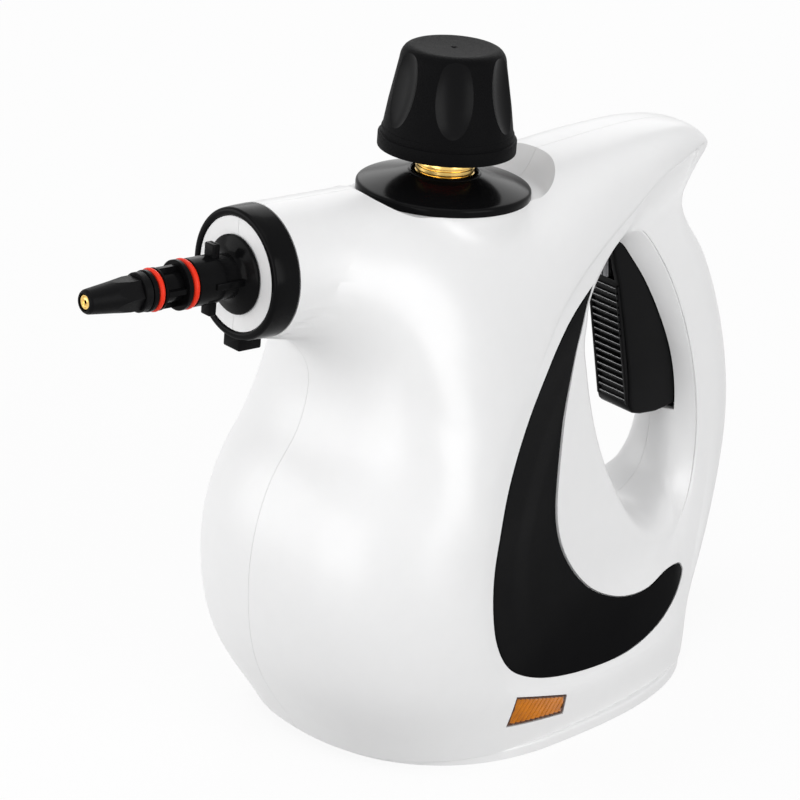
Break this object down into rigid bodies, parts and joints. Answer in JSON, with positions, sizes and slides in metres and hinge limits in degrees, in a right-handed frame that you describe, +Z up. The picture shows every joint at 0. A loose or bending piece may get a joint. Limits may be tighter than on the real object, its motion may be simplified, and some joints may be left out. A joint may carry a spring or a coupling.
{
  "type": "handheld steam cleaner",
  "caption": "Jug-shaped handheld steam cleaner: two-shell body with loop handle and trigger, forward steam nozzle, press-and-turn pressure cap over a boiler.",
  "frame": {"origin": "middle of the base's underside, on the middle plane, where the body rests on a table", "axes": "+Z up, -Y towards the nozzle, +X towards the side with the indicator lens"},
  "size_m": [0.1322, 0.2959, 0.2525],
  "materials": {
    "white_shell": "moulded white plastic, soft gloss",
    "black_gloss": "polished black plastic",
    "black_matte": "fine-grained black plastic",
    "red_rubber": "silicone rubber",
    "dark_rubber": "dark rubber",
    "grey_rubber": "grey rubber",
    "amber_lens": "translucent amber plastic",
    "brass": "turned brass",
    "steel": "zinc-plated steel",
    "aluminium": "cast and pressed aluminium",
    "copper_tube": "drawn copper tube",
    "ceramic_grey": "unglazed ceramic"
  },
  "bodies": {
    "housing": {"base_foot_1": "grey_rubber", "base_foot_2": "grey_rubber", "base_foot_3": "grey_rubber", "base_foot_4": "grey_rubber", "base_plate": "black_matte", "base_screw_1": "steel", "base_screw_2": "steel", "base_screw_3": "steel", "base_screw_4": "steel", "boiler_bolt_1": "steel", "boiler_bolt_2": "steel", "boiler_bolt_3": "steel", "boiler_bolt_4": "steel", "boiler_gasket": "red_rubber", "boiler_lower": "aluminium", "boiler_upper": "aluminium", "brass_jet": "brass", "cap_spring": "steel", "cord_inlet_bush": "dark_rubber", "filler_disc": "black_gloss", "filler_neck": "brass", "heating_element": "steel", "indicator_lens": "amber_lens", "jet_tip": "black_gloss", "lamp_board": "black_matte", "left_crescent_panel": "black_matte", "left_shell": "white_shell", "nozzle_collar": "black_gloss", "nozzle_ring_front": "red_rubber", "nozzle_ring_rear": "red_rubber", "nozzle_spigot": "black_gloss", "right_crescent_panel": "black_matte", "right_shell": "white_shell", "seam_screw_1": "steel", "seam_screw_2": "steel", "seam_screw_3": "steel", "seam_screw_4": "steel", "steam_tube_inlet": "copper_tube", "steam_tube_outlet": "copper_tube", "terminal_block": "ceramic_grey", "thermal_fuse": "ceramic_grey", "thermostat": "ceramic_grey", "trigger_pin": "steel", "trigger_spring": "steel", "valve_body": "brass", "valve_spring": "steel"},
    "trigger_lever": {"trigger": "black_matte"},
    "lock_slide": {"trigger_lock": "aluminium"},
    "steam_plunger": {"valve_plunger": "steel"},
    "sealing_ring": {"cap_gasket": "red_rubber"},
    "cap_screw": {"cap_plug": "brass"},
    "cap_grip": {"cap_shell": "black_matte"}
  },
  "joints": [
    {"name": "trigger_hinge", "type": "hinge", "parent": "housing", "child": "trigger_lever", "pos_m": [0, 0.062, 0.172], "axis": [1, 0, 0], "range_deg": [0, 7], "stiffness_Nm_per_rad": 1.5, "springref_deg": -4.58, "deforming": ["trigger_spring"]},
    {"name": "steam_plunger_slide", "type": "slide", "parent": "housing", "child": "steam_plunger", "axis": [0, -1, 0], "range_m": [0, 0.002], "stiffness_N_per_m": 150, "springref_m": -0.002, "deforming": ["valve_spring"]},
    {"name": "lock_slide_travel", "type": "slide", "parent": "trigger_lever", "child": "lock_slide", "axis": [1, 0, 0], "range_m": [0, 0.003]},
    {"name": "cap_lift", "type": "slide", "parent": "housing", "child": "sealing_ring", "axis": [0, 0.0924, 0.9957], "range_m": [0, 0.006]},
    {"name": "cap_turn", "type": "hinge", "parent": "sealing_ring", "child": "cap_screw", "pos_m": [0, -0.01345, 0.21424], "axis": [0, 0.0924, 0.9957], "range_deg": [0, 720]},
    {"name": "cap_press", "type": "slide", "parent": "cap_screw", "child": "cap_grip", "axis": [0, -0.0924, -0.9957], "range_m": [0, 0.0025], "stiffness_N_per_m": 500, "springref_m": -0.003, "deforming": ["cap_spring"]}
  ],
  "couplings": [
    {"joint": "steam_plunger_slide", "follows": "trigger_hinge", "m_per_rad": 0.016},
    {"joint": "cap_turn", "follows": "cap_lift", "rad_per_m": 2094.4}
  ]
}
